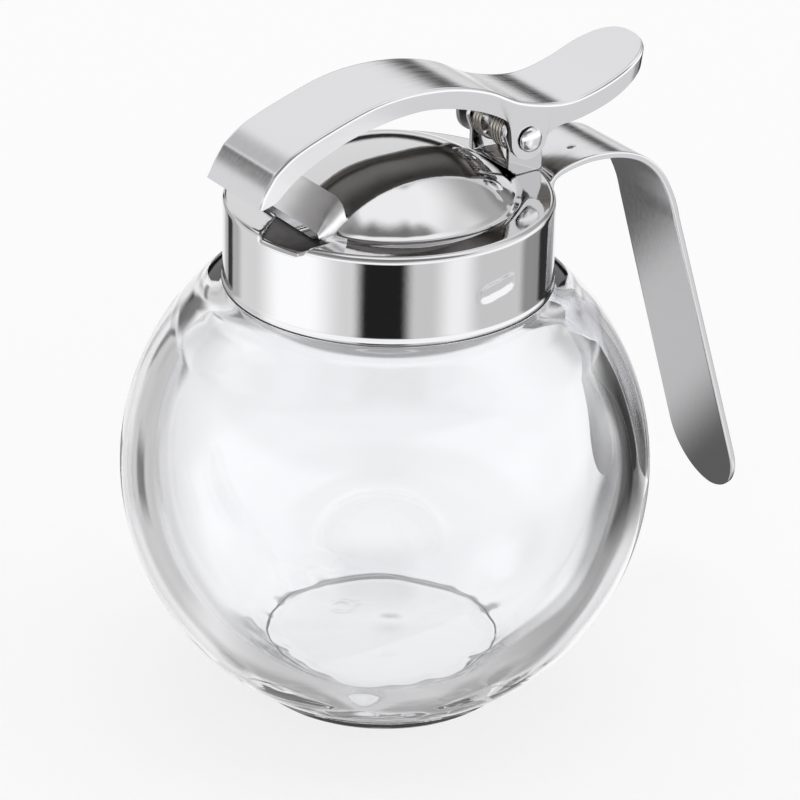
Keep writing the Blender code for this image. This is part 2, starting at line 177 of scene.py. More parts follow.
def buildStudio(look, cameraLook):
    world = bpy.data.worlds.new("studio")
    bpy.context.scene.world = world
    world.use_nodes = True
    tree = world.node_tree
    tree.nodes.clear()
    az = math.radians(cameraLook["azimuth"])
    coords = addNode(tree, "ShaderNodeTexCoord").outputs["Generated"]
    sides = []
    for axis in ((math.cos(az), math.sin(az), 0.0), (math.sin(az), -math.cos(az), 0.0)):
        dot = addNode(tree, "ShaderNodeVectorMath", operation="DOT_PRODUCT")
        tree.links.new(coords, dot.inputs[0])
        dot.inputs[1].default_value = axis
        sides.append(dot.outputs["Value"])
    split = addNode(tree, "ShaderNodeSeparateXYZ")
    tree.links.new(coords, split.inputs[0])
    around = addMath(tree, "DEGREES", addMath(tree, "ARCTAN2", sides[0], sides[1]))
    height = addMath(tree, "DEGREES", addMath(tree, "ARCSINE", split.outputs["Z"]))
    light = None
    for panel in look["panels"]:
        turned = around
        if "lean" in panel:
            turned = addMath(tree, "ADD", around, addMath(tree, "MULTIPLY", height, panel["lean"]))
        across = addBand(tree, turned, panel["around"][0], panel["around"][1], panel["soft"][0])
        upward = addBand(tree, height, panel["up"][0], panel["up"][1], panel["soft"][1])
        mix = addNode(tree, "ShaderNodeMix", data_type="FLOAT")
        tree.links.new(addMath(tree, "MULTIPLY", across, upward), mix.inputs["Factor"])
        if light is None:
            mix.inputs["A"].default_value = look["plain"]
        else:
            tree.links.new(light, mix.inputs["A"])
        mix.inputs["B"].default_value = panel["light"]
        light = mix.outputs["Result"]
    rays = addNode(tree, "ShaderNodeLightPath")
    plain = addNode(tree, "ShaderNodeMix", data_type="FLOAT")
    tree.links.new(rays.outputs["Is Camera Ray"], plain.inputs["Factor"])
    tree.links.new(light, plain.inputs["A"])
    plain.inputs["B"].default_value = look["backdrop"]
    background = addNode(tree, "ShaderNodeBackground")
    background.inputs["Color"].default_value = (1.0, 1.0, 1.0, 1.0)
    tree.links.new(plain.outputs["Result"], background.inputs["Strength"])
    output = addNode(tree, "ShaderNodeOutputWorld")
    tree.links.new(background.outputs[0], output.inputs["Surface"])


def flatSheet(name, halfX, halfY, at):      # a single level rectangle
    mesh = bpy.data.meshes.new(name)
    corners = [(-halfX, -halfY, 0), (halfX, -halfY, 0), (halfX, halfY, 0), (-halfX, halfY, 0)]
    mesh.from_pydata(corners, [], [(0, 1, 2, 3)])
    sheet = bpy.data.objects.new(name, mesh)
    sheet.location = at
    bpy.context.scene.collection.objects.link(sheet)
    return sheet


paleFloor = {"half": 3.0, "drop": 0.05, "grey": 0.28, "rough": 0.9, "shine": 0.1, "glow": 0.76}


def buildFloor(look):
    floor = flatSheet("floor", look["half"], look["half"], (0.0, 0.0, -look["drop"] * mm))
    material = bpy.data.materials.new("paleFloor")
    material.use_nodes = True
    shader = material.node_tree.nodes["Principled BSDF"]
    shader.inputs["Base Color"].default_value = (look["grey"], look["grey"], look["grey"], 1.0)
    shader.inputs["Roughness"].default_value = look["rough"]
    shader.inputs["Specular IOR Level"].default_value = look["shine"]
    shader.inputs["Emission Color"].default_value = (1.0, 1.0, 1.0, 1.0)
    shader.inputs["Emission Strength"].default_value = look["glow"]
    floor.data.materials.append(material)
    floor.visible_glossy = False      # steel and glass see the studio below the horizon instead
    floor.visible_transmission = False


# a lit card on the table behind the jar, seen in reflections only
gripCard = {
    "middle": (42.0, 60.0, 0.4),
    "half": (58.0, 62.0),
    "bright": (-0.42, 0.32),      # its light band, as parts of the half width
    "soft": 0.34,
    "dark": 0.13,
    "light": 0.62,
}


def buildCard(look):
    halfX, halfY = (side * mm for side in look["half"])
    card = flatSheet("gripCard", halfX, halfY, [value * mm for value in look["middle"]])
    material = bpy.data.materials.new("cardLight")
    material.use_nodes = True
    tree = material.node_tree
    tree.nodes.clear()
    coords = addNode(tree, "ShaderNodeTexCoord").outputs["Object"]
    split = addNode(tree, "ShaderNodeSeparateXYZ")
    tree.links.new(coords, split.inputs[0])
    across = addMath(tree, "MULTIPLY", split.outputs["Y"], 1 / halfY)
    strip = addBand(tree, across, look["bright"][0], look["bright"][1], look["soft"])
    mix = addNode(tree, "ShaderNodeMix", data_type="FLOAT")
    tree.links.new(strip, mix.inputs["Factor"])
    mix.inputs["A"].default_value = look["dark"]
    mix.inputs["B"].default_value = look["light"]
    glow = addNode(tree, "ShaderNodeEmission")
    tree.links.new(mix.outputs["Result"], glow.inputs["Strength"])
    output = addNode(tree, "ShaderNodeOutputMaterial")
    tree.links.new(glow.outputs[0], output.inputs["Surface"])
    card.data.materials.append(material)
    card.visible_camera = False
    card.visible_diffuse = False
    card.visible_transmission = False
    card.visible_shadow = False


buildStudio(studio, photoCamera)
buildCard(gripCard)
buildFloor(paleFloor)
view = bpy.context.scene.view_settings
view.view_transform = "Standard"
view.look = "None"
print("studio and floor set")


# finishes: rough is the least and the most, grain is how fine it is along each axis
finishes = {
    "polishedSteel": {
        "colour": (0.68, 0.68, 0.69), "rough": (0.04, 0.08), "grain": (900, 900, 900), "depth": 0.02,
    },
    "satinSteel": {
        "colour": (0.77, 0.77, 0.785), "rough": (0.13, 0.19), "grain": (60, 1500, 900), "depth": 0.05,
    },
    "brushedSteel": {
        "colour": (0.95, 0.95, 0.96), "rough": (0.34, 0.44), "grain": (900, 80, 900), "depth": 0.05,
    },
    # insides and cut edges of the pressed sheets: rougher unpolished steel, and its darker colour is
    # painted shade
    "innerShadeSteel": {
        "colour": (0.40, 0.385, 0.37), "rough": (0.30, 0.45), "grain": (700, 700, 700), "depth": 0.1,
    },
    # floor of the pouring lip, painted near-black as painted shade
    "lipShadeSteel": {
        "colour": (0.085, 0.08, 0.08), "rough": (0.28, 0.40), "grain": (700, 700, 700), "depth": 0.1,
    },
    "wireSteel": {
        "colour": (0.50, 0.47, 0.43), "rough": (0.16, 0.26), "grain": (900, 900, 900), "depth": 0.05,
    },
    "clearGlass": {"colour": (0.955, 0.957, 0.970), "index": 1.5},
}
steelGrain = {"detail": 4.0, "low": 0.3, "high": 0.7, "relief": 0.2}      # relief in mm


def makeSteel(name, look):
    material = bpy.data.materials.new(name)
    material.use_nodes = True
    tree = material.node_tree
    shader = tree.nodes["Principled BSDF"]
    shader.inputs["Base Color"].default_value = look["colour"] + (1.0,)
    shader.inputs["Metallic"].default_value = 1.0
    coords = addNode(tree, "ShaderNodeTexCoord").outputs["Object"]
    stretch = addNode(tree, "ShaderNodeMapping")
    stretch.inputs["Scale"].default_value = look["grain"]
    tree.links.new(coords, stretch.inputs["Vector"])
    grain = addNode(tree, "ShaderNodeTexNoise")
    grain.inputs["Scale"].default_value = 1.0
    grain.inputs["Detail"].default_value = steelGrain["detail"]
    tree.links.new(stretch.outputs[0], grain.inputs["Vector"])
    spread = addNode(tree, "ShaderNodeMapRange")
    spread.inputs["From Min"].default_value = steelGrain["low"]
    spread.inputs["From Max"].default_value = steelGrain["high"]
    spread.inputs["To Min"].default_value = look["rough"][0]
    spread.inputs["To Max"].default_value = look["rough"][1]
    tree.links.new(grain.outputs[0], spread.inputs["Value"])
    tree.links.new(spread.outputs[0], shader.inputs["Roughness"])
    bump = addNode(tree, "ShaderNodeBump")
    bump.inputs["Strength"].default_value = look["depth"]
    bump.inputs["Distance"].default_value = steelGrain["relief"] * mm
    tree.links.new(grain.outputs[0], bump.inputs["Height"])
    tree.links.new(bump.outputs[0], shader.inputs["Normal"])
    return material


def makeGlass(name, look):
    material = bpy.data.materials.new(name)
    material.use_nodes = True
    shader = material.node_tree.nodes["Principled BSDF"]
    shader.inputs["Base Color"].default_value = look["colour"] + (1.0,)
    shader.inputs["Roughness"].default_value = 0.0
    shader.inputs["IOR"].default_value = look["index"]
    shader.inputs["Transmission Weight"].default_value = 1.0
    return material


polishedSteel = makeSteel("polishedSteel", finishes["polishedSteel"])
satinSteel = makeSteel("satinSteel", finishes["satinSteel"])
brushedSteel = makeSteel("brushedSteel", finishes["brushedSteel"])
innerShadeSteel = makeSteel("innerShadeSteel", finishes["innerShadeSteel"])
lipShadeSteel = makeSteel("lipShadeSteel", finishes["lipShadeSteel"])
wireSteel = makeSteel("wireSteel", finishes["wireSteel"])
clearGlass = makeGlass("clearGlass", finishes["clearGlass"])
print("finishes made")


# mesh helpers, all in millimetres until the mesh is made
mergeWithin = 0.0005


def finishPiece(name, bm, material, sharp=32.0):
    bmesh.ops.remove_doubles(bm, verts=bm.verts, dist=mergeWithin)
    bmesh.ops.recalc_face_normals(bm, faces=bm.faces)
    bmesh.ops.scale(bm, verts=bm.verts, vec=(mm, mm, mm))
    mesh = bpy.data.meshes.new(name)
    bm.to_mesh(mesh)
    bm.free()
    mesh.materials.append(material)
    mesh.shade_smooth()
    mesh.set_sharp_from_angle(angle=math.radians(sharp))
    piece = bpy.data.objects.new(name, mesh)
    bpy.context.scene.collection.objects.link(piece)
    return piece


def place(piece, body, node=None):
    if node:
        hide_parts(node)
    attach(piece, body)
    return piece


def turnedMesh(profile, steps, shape=None, insideFrom=None):
    bm = bmesh.new()
    rings = []
    for index, point in enumerate(profile):
        radius, height = point[0], point[1]
        if radius < 1e-6:
            pole = shape(index, point, 0.0)[1] if shape else height
            rings.append([bm.verts.new((0.0, 0.0, pole))])
            continue
        ring = []
        for i in range(steps):
            a = 2 * math.pi * i / steps
            r, z = shape(index, point, a) if shape else (radius, height)
            ring.append(bm.verts.new((r * math.cos(a), r * math.sin(a), z)))
        rings.append(ring)
    pairs = list(zip(rings, rings[1:]))
    if len(rings[0]) > 1 and len(rings[-1]) > 1:
        pairs.append((rings[-1], rings[0]))
    for index, (low, high) in enumerate(pairs):
        for i in range(steps):
            j = (i + 1) % steps
            if len(low) == 1:
                face = bm.faces.new((low[0], high[i], high[j]))
            elif len(high) == 1:
                face = bm.faces.new((low[i], low[j], high[0]))
            else:
                face = bm.faces.new((low[i], low[j], high[j], high[i]))
            if insideFrom is not None and index >= insideFrom:
                face.material_index = 1
    return bm


def loftMesh(loops, insideStrips=(), inside=1):
    bm = bmesh.new()
    rows = [[bm.verts.new(p) for p in loop] for loop in loops]
    count = len(rows[0])
    for low, high in zip(rows, rows[1:]):
        for i in range(count):
            j = (i + 1) % count
            face = bm.faces.new((low[i], low[j], high[j], high[i]))
            face.material_index = inside if i in insideStrips else 0
    bm.faces.new(rows[0])
    bm.faces.new(list(reversed(rows[-1])))
    return bm


def prismMesh(outline, low, high):
    return loftMesh([[(x, low, z) for x, z in outline], [(x, high, z) for x, z in outline]])


def rise(value, start, end):      # 0 up to start, 1 from end on
    return min(max((value - start) / (end - start), 0.0), 1.0)


def hump(away):
    return math.exp(-away * away)


def arcPoints(cx, cz, radius, start, end, steps):
    points = []
    for i in range(steps + 1):
        a = math.radians(start + (end - start) * i / steps)
        points.append((cx + radius * math.cos(a), cz + radius * math.sin(a)))
    return points


def smoothLine(knots, steps):
    line = []
    last = len(knots) - 1
    for i in range(last):
        p0, p1 = knots[max(i - 1, 0)], knots[i]
        p2, p3 = knots[i + 1], knots[min(i + 2, last)]
        for k in range(steps):
            t = k / steps
            point = []
            for a, b, c, d in zip(p0, p1, p2, p3):
                bend = (2 * a - 5 * b + 4 * c - d) * t * t + (3 * b - a - 3 * c + d) * t ** 3
                point.append(0.5 * (2 * b + (c - a) * t + bend))
            line.append(tuple(point))
    line.append(tuple(knots[-1]))
    return line


def evenPoints(line, count):
    lengths = [0.0]
    for (ax, az), (bx, bz) in zip(line, line[1:]):
        lengths.append(lengths[-1] + math.hypot(bx - ax, bz - az))
    out = []
    k = 0
    for i in range(count):
        want = lengths[-1] * i / (count - 1)
        while k < len(line) - 2 and lengths[k + 1] < want:
            k += 1
        span = lengths[k + 1] - lengths[k]
        t = (want - lengths[k]) / span if span else 0.0
        (ax, az), (bx, bz) = line[k], line[k + 1]
        out.append((ax + (bx - ax) * t, az + (bz - az) * t))
    return out


def lineNormals(line):
    out = []
    for i in range(len(line)):
        ax, az = line[max(i - 1, 0)]
        bx, bz = line[min(i + 1, len(line) - 1)]
        length = math.hypot(bx - ax, bz - az) or 1.0
        out.append(((bz - az) / length, -(bx - ax) / length))
    return out


# jar: a thick blown globe on a pressed foot, with a short neck
# outlines are pairs of radius and height
jarShape = {
    "globe": 47.5, "middle": 42.4, "cavity": 41.4, "steps": 192,
    "foot": [
        (0.0, 0.3), (8.0, 0.28), (14.0, 0.2), (19.0, 0.08), (21.5, 0.01), (22.6, 0.0), (23.5, 0.12),
        (24.0, 0.6), (24.15, 1.3), (24.6, 1.75), (25.3, 2.0),
    ],
    "globeSpan": (2.75, 75.2),      # heights between which the outside is the globe
    "neck": [
        (33.4, 76.25), (32.3, 76.9), (31.1, 77.25), (29.8, 77.4), (28.6, 77.5), (27.8, 77.75),
        (27.25, 78.2), (27.0, 78.9), (27.0, 84.0),
    ],
    "bead": [(27.5, 84.4), (27.8, 84.9), (27.8, 85.5), (27.5, 86.0), (27.0, 86.4)],
    "mouth": [(27.0, 91.6), (26.7, 92.3), (26.1, 92.6), (24.9, 92.6), (24.3, 92.3), (24.0, 91.7)],
    "throat": [(24.0, 79.6), (24.1, 78.2), (24.5, 77.0), (25.2, 75.9)],
    "cavityTop": 26.4,      # radius where the cavity starts below the throat
    "shoulder": 1.35,       # extra thickness of the wall up there
    "shoulderSpan": (23.6, 31.6),      # heights above the middle over which it grows
    "floor": 6.9, "floorLift": 3.4, "flat": 20.0, "flatRows": 39,
    "fillet": [(25.0, 2.2), (24.2, 1.35), (23.3, 0.7), (22.3, 0.25), (21.2, 0.03), (20.4, 0.0)],
    "waves": 0.22,          # unevenness of the inner wall
    "wavesEnd": (64.0, 76.0),
    "floorWaves": 0.85,
    "floorWavesSpan": (8.0, 16.0),
    "floorSink": 0.35,      # how much of a wave goes into the floor's height
    # size, waves in a turn, start and climb of each ripple
    "ripples": [
        (0.40, 3, 1.3, 0.050), (0.30, 5, 0.7, -0.080), (0.26, 9, 2.1, 0.130), (0.16, 15, 0.4, -0.210),
    ],
    # small flaws that the mould leaves in the floor: place, reach, height and kind
    "marks": [
        (-2.2, 10.6, 2.1, 0.16, "ring"), (1.1, 9.9, 0.8, 0.2, "knob"),
        (1.8, 0.4, 3.2, 0.62, "knob"), (-7.1, -7.3, 0.7, 0.15, "knob"),
    ],
    "ringWidth": 0.28, "marksEnd": 16.0,
    # where the floor meets the wall
    "groove": {
        "radius": 21.4, "width": 1.25, "depth": 0.62, "sway": 0.75, "swell": 0.4,
        "reach": (18.0, 25.0), "below": 12.0,
        "ripples": [(0.65, 7, 0.4, 0.0), (0.5, 13, 2.0, 0.0), (0.3, 22, 0.0, 0.0)],
    },
    "unevenSide": -34.7,    # the wall is most uneven on this side
    "evenShare": 0.12,      # and this much of it is left on the other
    "globeRows": 64, "cavityRows": 52,
}


def rippleSum(ripples, a, h):
    return sum(size * math.sin(count * a + start + climb * h) for size, count, start, climb in ripples)


def jarProfile(look):
    globe, middle = look["globe"], look["middle"]
    first, last = (math.asin((height - middle) / globe) for height in look["globeSpan"])
    outer = list(look["foot"])
    for i in range(look["globeRows"] + 1):
        a = first + (last - first) * i / look["globeRows"]
        outer.append((globe * math.cos(a), middle + globe * math.sin(a)))
    outer += look["neck"] + look["bead"] + look["mouth"][:3]
    inner = look["mouth"][3:] + look["throat"]
    cavity, floor = look["cavity"], look["floor"]
    first = math.acos(look["cavityTop"] / cavity)
    last = math.asin((floor + look["floorLift"] - middle) / cavity)
    for i in range(look["cavityRows"] + 1):
        a = first + (last - first) * i / look["cavityRows"]
        radius = cavity - look["shoulder"] * rise(cavity * math.sin(a), *look["shoulderSpan"])
        inner.append((radius * math.cos(a), middle + radius * math.sin(a)))
    inner += [(radius, floor + lift) for radius, lift in look["fillet"]]
    for i in range(look["flatRows"], -1, -1):
        inner.append((look["flat"] * i / look["flatRows"], floor))
    return outer, inner


def floorMark(look, x, y):
    lift = 0.0
    for markX, markY, reach, height, kind in look["marks"]:
        away = math.hypot(x - markX, y - markY) / reach
        if kind == "ring":
            away = (away - 1.0) / look["ringWidth"]
        lift += height * hump(away)
    return lift


def buildJar(look):
    outer, inner = jarProfile(look)
    rimStart = len(outer)
    side = math.radians(look["unevenSide"])
    groove = look["groove"]

    def shape(index, point, a):
        r, z = point
        if index < rimStart:
            return r, z
        near = 0.5 + 0.5 * math.cos(a - side)
        amount = look["waves"] * (look["evenShare"] + (1 - look["evenShare"]) * near ** 2)
        amount *= 1 - rise(z, *look["wavesEnd"])
        low = 1 - rise(z, *look["floorWavesSpan"])
        amount = amount * (1 - low) + look["floorWaves"] * low * min(r / look["flat"], 1.0) ** 2
        wave = rippleSum(look["ripples"], a, z) * amount
        z -= look["floorSink"] * wave * low
        if groove["reach"][0] < r < groove["reach"][1] and z < groove["below"]:
            swell = rippleSum(groove["ripples"], a, 0.0)
            away = (r - groove["radius"]) / groove["width"]
            wave += groove["sway"] * swell * hump(0.5 * away)
            z -= groove["depth"] * (1.0 + groove["swell"] * swell) * hump(away)
        if r < look["marksEnd"]:
            z += floorMark(look, r * math.cos(a), r * math.sin(a))
        return r + wave, z

    bm = turnedMesh(outer + inner, look["steps"], shape)
    return place(finishPiece("jarGlass", bm, clearGlass, 60.0), "base", "jar")


buildJar(jarShape)
print("jar made")


# lid: one pressed shell with a collar, a flat ring and a centre dome
lidShape = {
    "collar": 29.15, "collarDrop": 13.6, "ring": 94.7, "round": 1.2,
    "dome": 21.8, "domeBase": 95.0, "domeTop": 103.5, "domePower": 2.4,
    "domeFoot": [(22.1, 94.86), (22.5, 94.76), (22.95, 94.72), (23.2, 94.67)],
    "footHeight": 94.78,
    "flat": (23.35, 24.5, 26.2),      # radii on the ring
    "bead": [
        (29.2, 79.55), (29.34, 79.3), (29.4, 78.95), (29.38, 78.5), (29.2, 78.15), (28.95, 78.0),
        (28.6, 78.05), (28.5, 78.6), (28.55, 79.8),
    ],
    "inside": (28.55, 93.4),
    # radii under the ring, and how far each lies below its top
    "underRing": [(28.2, 0.8), (27.7, 0.6), (23.3, 0.6), (22.2, 0.5)],
    "sheet": 0.6, "steps": 288,
    "dimples": (-83.9, 96.1), "dimpleHeight": 86.55, "dimpleHalf": (4.2, 1.7),
    "dimpleSpan": (80.0, 93.4), "dimpleFrom": 29.0,
    "dimpleDepth": 0.42, "dimpleTilt": 0.18, "dimpleSlope": 0.45,
    "domeRows": 40, "collarRows": 26, "insideRows": 16,
    "insideDome": 21.2, "insideStretch": 1.022,
    # the sheet bends down under the lip
    "lipBulge": {"halfWidth": 14.5, "drop": 0.95, "from": 22.0, "above": 93.0},
    "slot": {"from": -22.3, "to": -16.9, "low": 92.0, "high": 101.0, "half": 9.6},
}


def domeHeight(look, radius):
    lift = look["domeTop"] - look["domeBase"]
    return look["domeBase"] + lift * (1 - (radius / look["dome"]) ** look["domePower"])


def lidTop(radius):
    if radius > lidShape["domeFoot"][-1][0]:
        return lidShape["ring"]
    if radius > lidShape["dome"]:
        return lidShape["footHeight"]
    return domeHeight(lidShape, radius)


def lidProfile(look):
    ring, collar, corner = look["ring"], look["collar"], look["round"]
    outer = []
    for i in range(look["domeRows"] + 1):
        radius = look["dome"] * (i / look["domeRows"])
        outer.append((radius, domeHeight(look, radius)))
    outer += look["domeFoot"]
    outer += [(radius, ring) for radius in look["flat"] + (collar - corner - 0.05,)]
    outer += arcPoints(collar - corner, ring - corner, corner, 88, 0, 12)
    rows = look["collarRows"]
    for i in range(1, rows + 1):
        outer.append((collar, ring - corner - 0.1 - look["collarDrop"] * i / rows))
    outer += look["bead"][:6]
    inner = look["bead"][6:] + [look["inside"]]
    inner += [(radius, ring - below) for radius, below in look["underRing"]]
    for i in range(look["insideRows"], -1, -1):
        radius = look["insideDome"] * i / look["insideRows"]
        inner.append((radius, domeHeight(look, radius * look["insideStretch"]) - look["sheet"]))
    return outer, inner


def dimplePush(look, a, z):
    push = 0.0
    for angle in look["dimples"]:
        off = (math.degrees(a) - angle + 180) % 360 - 180
        along = math.radians(off) * look["collar"]
        above = z - look["dimpleHeight"] - along * look["dimpleTilt"]
        halfLong, halfTall = look["dimpleHalf"]
        straight = halfLong - halfTall
        reach = math.hypot(max(abs(along) - straight, 0.0), above) / halfTall
        if reach < 1.0:
            push = max(push, look["dimpleDepth"] * min((1 - reach) / look["dimpleSlope"], 1.0))
    return push


def buildLid(look):
    outer, inner = lidProfile(look)
    bulge, slot = look["lipBulge"], look["slot"]
    low, high = look["dimpleSpan"]

    def shape(index, point, a):
        r, z = point
        if index < len(outer) and low < z < high and r > look["dimpleFrom"]:
            r -= dimplePush(look, a, z)
        nearMouth = abs(r * math.sin(a)) < bulge["halfWidth"] and math.cos(a) < 0
        if index > len(outer) and r > bulge["from"] and z > bulge["above"] and nearMouth:
            z -= bulge["drop"]
        return r, z

    shell = turnedMesh(outer + inner, look["steps"], shape, len(outer))
    lid = finishPiece("lidShell", shell, polishedSteel, 40.0)
    lid.data.materials.append(brushedSteel)
    # the pouring lip's floor: near-black painted shade
    lid.data.materials.append(lipShadeSteel)
    hole = [(slot["from"], slot["low"]), (slot["to"], slot["low"])]
    hole += [(slot["to"], slot["high"]), (slot["from"], slot["high"])]
    tools = [
        finishPiece("lipTool", lipMesh(pouringLip), polishedSteel),
        finishPiece("slotTool", prismMesh(hole, -slot["half"], slot["half"]), polishedSteel),
    ]
    cutWith(lid, tools)
    return place(lid, "base", "lid")


# pouring lip: the ring slopes down from the mouth to the collar's edge
pouringLip = {
    "near": -13.2, "far": 2.4, "farTurn": 5.3,      # its far side runs askew
    "inner": 21.4, "outer": 28.4, "top": 94.6, "drop": 1.05,
    "roll": [(28.75, 0.12), (29.0, 0.35), (29.14, 0.75), (29.3, 0.95)],      # over the collar's edge
    "fade": 1.8, "farFade": 0.5,      # over these it meets the lid's own edge
    "cutTop": 97.0, "cutOut": 31.0,
    "rows": 40, "slopeRows": 12,
}


def rimHeight(look, r):      # the lid's own surface near its upper edge
    corner = look["round"]
    out = max(r - (look["collar"] - corner), 0.0)
    return look["ring"] - corner + math.sqrt(max(corner ** 2 - out ** 2, 0.0))


def lipMesh(look):
    edge = look["top"] - look["drop"]
    rows, slopeRows = look["rows"], look["slopeRows"]
    loops = []
    for i in range(rows + 1):
        points = []
        for k in range(slopeRows + 1):
            t = k / slopeRows
            y = look["near"] + (look["far"] - look["farTurn"] * t - look["near"]) * i / rows
            x = look["inner"] + (math.sqrt(look["outer"] ** 2 - y * y) - look["inner"]) * t
            points.append((-x, y, look["top"] - look["drop"] * t))
        points.insert(0, (points[0][0], points[0][1], look["cutTop"]))
        fade = min((y - look["near"]) / look["fade"], 1.0)
        fade *= min((look["far"] - look["farTurn"] - y) / look["farFade"], 1.0)
        for r, below in look["roll"]:
            own = rimHeight(lidShape, r) + 0.02
            points.append((-math.sqrt(r * r - y * y), y, own + (edge - below - own) * fade))
        points.append((-math.sqrt(look["cutOut"] ** 2 - y * y), y, look["cutTop"]))
        loops.append(points)
    # its sloping floor takes the lid's third material, the near-black painted shade
    return loftMesh(loops, range(1, slopeRows + 1), 2)


def cutWith(piece, tools):
    for tool in tools:
        cut = piece.modifiers.new(tool.name, "BOOLEAN")
        cut.operation = "DIFFERENCE"
        cut.solver = "EXACT"
        cut.object = tool
    depsgraph = bpy.context.evaluated_depsgraph_get()
    mesh = bpy.data.meshes.new_from_object(piece.evaluated_get(depsgraph))
    piece.modifiers.clear()
    piece.data = mesh
    for tool in tools:
        bpy.data.objects.remove(tool, do_unlink=True)


buildLid(lidShape)
print("lid made")


# hood: the small roof over the pouring slot
hoodShape = {
    "halfWidth": 11.0, "corner": 3.9, "sheet": 0.4,
    "lean": 0.16,      # the side walls draw in a little at the foot
    "sink": 0.05,      # how far its foot stands in the lid
    "roof": [
        (-22.0, 95.7), (-21.6, 95.98), (-20.4, 97.1), (-19.3, 98.1), (-18.2, 99.15), (-16.6, 100.5),
    ],
    "inset": (0.3, 0.25),      # of the underside, back and down
    "back": ((0.45, 0.3), (0.05, 0.6)),      # reach and drop of the back edge, top and underside
}


def hoodRow(look, x, roof, inset):
    half = look["halfWidth"] - inset
    low = lidTop(math.hypot(x, look["halfWidth"])) - look["sink"]
    corner = min(look["corner"] - inset * 0.6, (roof - low) * 0.85)
    lean = (roof - corner - low) * look["lean"]
    side = [(half - lean, low), (half - lean * 0.5, low * 0.5 + (roof - corner) * 0.5)]
    side += arcPoints(half - corner, roof - corner, corner, 0, 90, 6)
    side += [(half * 0.6, roof), (half * 0.3, roof)]
    left = [(x, -y, z) for y, z in side]
    right = [(x, y, z) for y, z in reversed(side)]
    return left + right


def sheetMesh(front, back):      # a sheet whose back takes the second material, rougher and darker as painted shade
    bm = bmesh.new()
    a = [[bm.verts.new(p) for p in row] for row in front]
    b = [[bm.verts.new(p) for p in row] for row in back]
    n, m = len(a), len(a[0])
    for i in range(n - 1):
        for j in range(m - 1):
            bm.faces.new((a[i][j], a[i][j + 1], a[i + 1][j + 1], a[i + 1][j]))
            inside = bm.faces.new((b[i][j], b[i + 1][j], b[i + 1][j + 1], b[i][j + 1]))
            inside.material_index = 1
    for i in range(n - 1):
        for j in (0, m - 1):
            bm.faces.new((a[i][j], a[i + 1][j], b[i + 1][j], b[i][j]))
    for j in range(m - 1):
        for i in (0, n - 1):
            edge = bm.faces.new((a[i][j], b[i][j], b[i][j + 1], a[i][j + 1]))
            edge.material_index = 1 if i == 0 else 0
    return bm


def buildHood(look):
    roof = smoothLine(look["roof"], 2)
    backward, down = look["inset"]
    top = [hoodRow(look, x, z, 0.0) for x, z in roof]
    low = [hoodRow(look, x + backward, z - down, look["sheet"]) for x, z in roof]
    for rows, (reach, drop) in zip((top, low), look["back"]):
        x = roof[-1][0] + reach
        row = []
        for _, y, z in rows[-1]:
            row.append((x, y, min(lidTop(math.hypot(x, y)) - look["sink"], z - drop)))
        rows.append(row)
    hood = finishPiece("hoodPlate", sheetMesh(top, low), brushedSteel, 38.0)
    # underside and front edge: rougher steel, darker as painted shade
    hood.data.materials.append(innerShadeSteel)
    return place(hood, "base", "spout_hood")


buildHood(hoodShape)
print("hood made")


# hinge: bracket on the lid, pin with domed heads, and the coiled spring between the ears
hingeShape = {
    "pin": (23.7, 102.3), "pinRadius": 1.5,
    "bracketFoot": [(22.9, 94.75), (28.4, 94.75), (28.4, 98.0)],
    "earRadius": 3.5, "earTurn": (-12, 178), "earOut": 6.1, "earIn": 5.1,
    "bracketFront": [(21.1, 100.0), (21.1, 96.2), (21.9, 95.3)],
    "gap": [(15.0, 96.0), (35.0, 96.0), (35.0, 110.0), (15.0, 110.0)],      # between the ears
    "softEdge": 0.18,
    "headIn": 8.8, "headRadius": 2.3, "headRise": 1.25, "headRim": 0.1,
    "coil": 3.3, "wire": 0.27, "turns": 3.5, "wireSides": 10, "turnSteps": 28,
    "coilSpan": (4.3, 1.3),      # each of the two coils runs between these, left and right
    "leg": 2.9,
}


def buildBracket(look):
    px, pz = look["pin"]
    side = look["bracketFoot"] + arcPoints(px, pz, look["earRadius"], *look["earTurn"], 24)
    side += look["bracketFront"]
    solid = prismMesh(side, -look["earOut"], look["earOut"])
    bracket = finishPiece("hingeBracket", solid, polishedSteel)
    gap = prismMesh(look["gap"], -look["earIn"], look["earIn"])
    cutWith(bracket, [finishPiece("gapTool", gap, polishedSteel)])
    soft = bracket.modifiers.new("softEdges", "BEVEL")
    soft.width = look["softEdge"] * mm
    soft.segments = 2
    soft.limit_method = "ANGLE"
    soft.angle_limit = math.radians(50)
    return place(bracket, "base", "hinge_bracket")


def buildPin(look):
    px, pz = look["pin"]
    base, r, rim = look["headIn"], look["headRadius"], look["headRim"]
    half = []
    for i in range(9):
        a = math.radians(90 * i / 8)
        half.append((r * math.sin(a), base + rim + (look["headRise"] - rim) * math.cos(a)))
    half += [(r - 0.05, base), (look["pinRadius"], base)]
    profile = [(x, -y) for x, y in half] + [(x, y) for x, y in reversed(half)]
    bm = turnedMesh(profile, 40)
    for v in bm.verts:      # turned upright, so it is laid along Y
        x, y, z = v.co
        v.co = (px + x, z, pz + y)
    return place(finishPiece("pinRivet", bm, satinSteel), "base", "hinge_pin")


def springPath(look):
    px, pz = look["pin"]
    outside, inside = look["coilSpan"]
    coil = look["coil"]
    path = [Vector((px + look["leg"], outside, pz - coil))]
    steps = look["turnSteps"]
    total = int(look["turns"] * steps)
    for start, y0, y1 in ((-90, outside, inside), (90, -inside, -outside)):
        for i in range(total + 1):
            a = math.radians(start) + 2 * math.pi * i / steps
            y = y0 + (y1 - y0) * i / total
            path.append(Vector((px + coil * math.cos(a), y, pz + coil * math.sin(a))))
    path.append(Vector((px + look["leg"], -outside, pz - coil)))
    return path


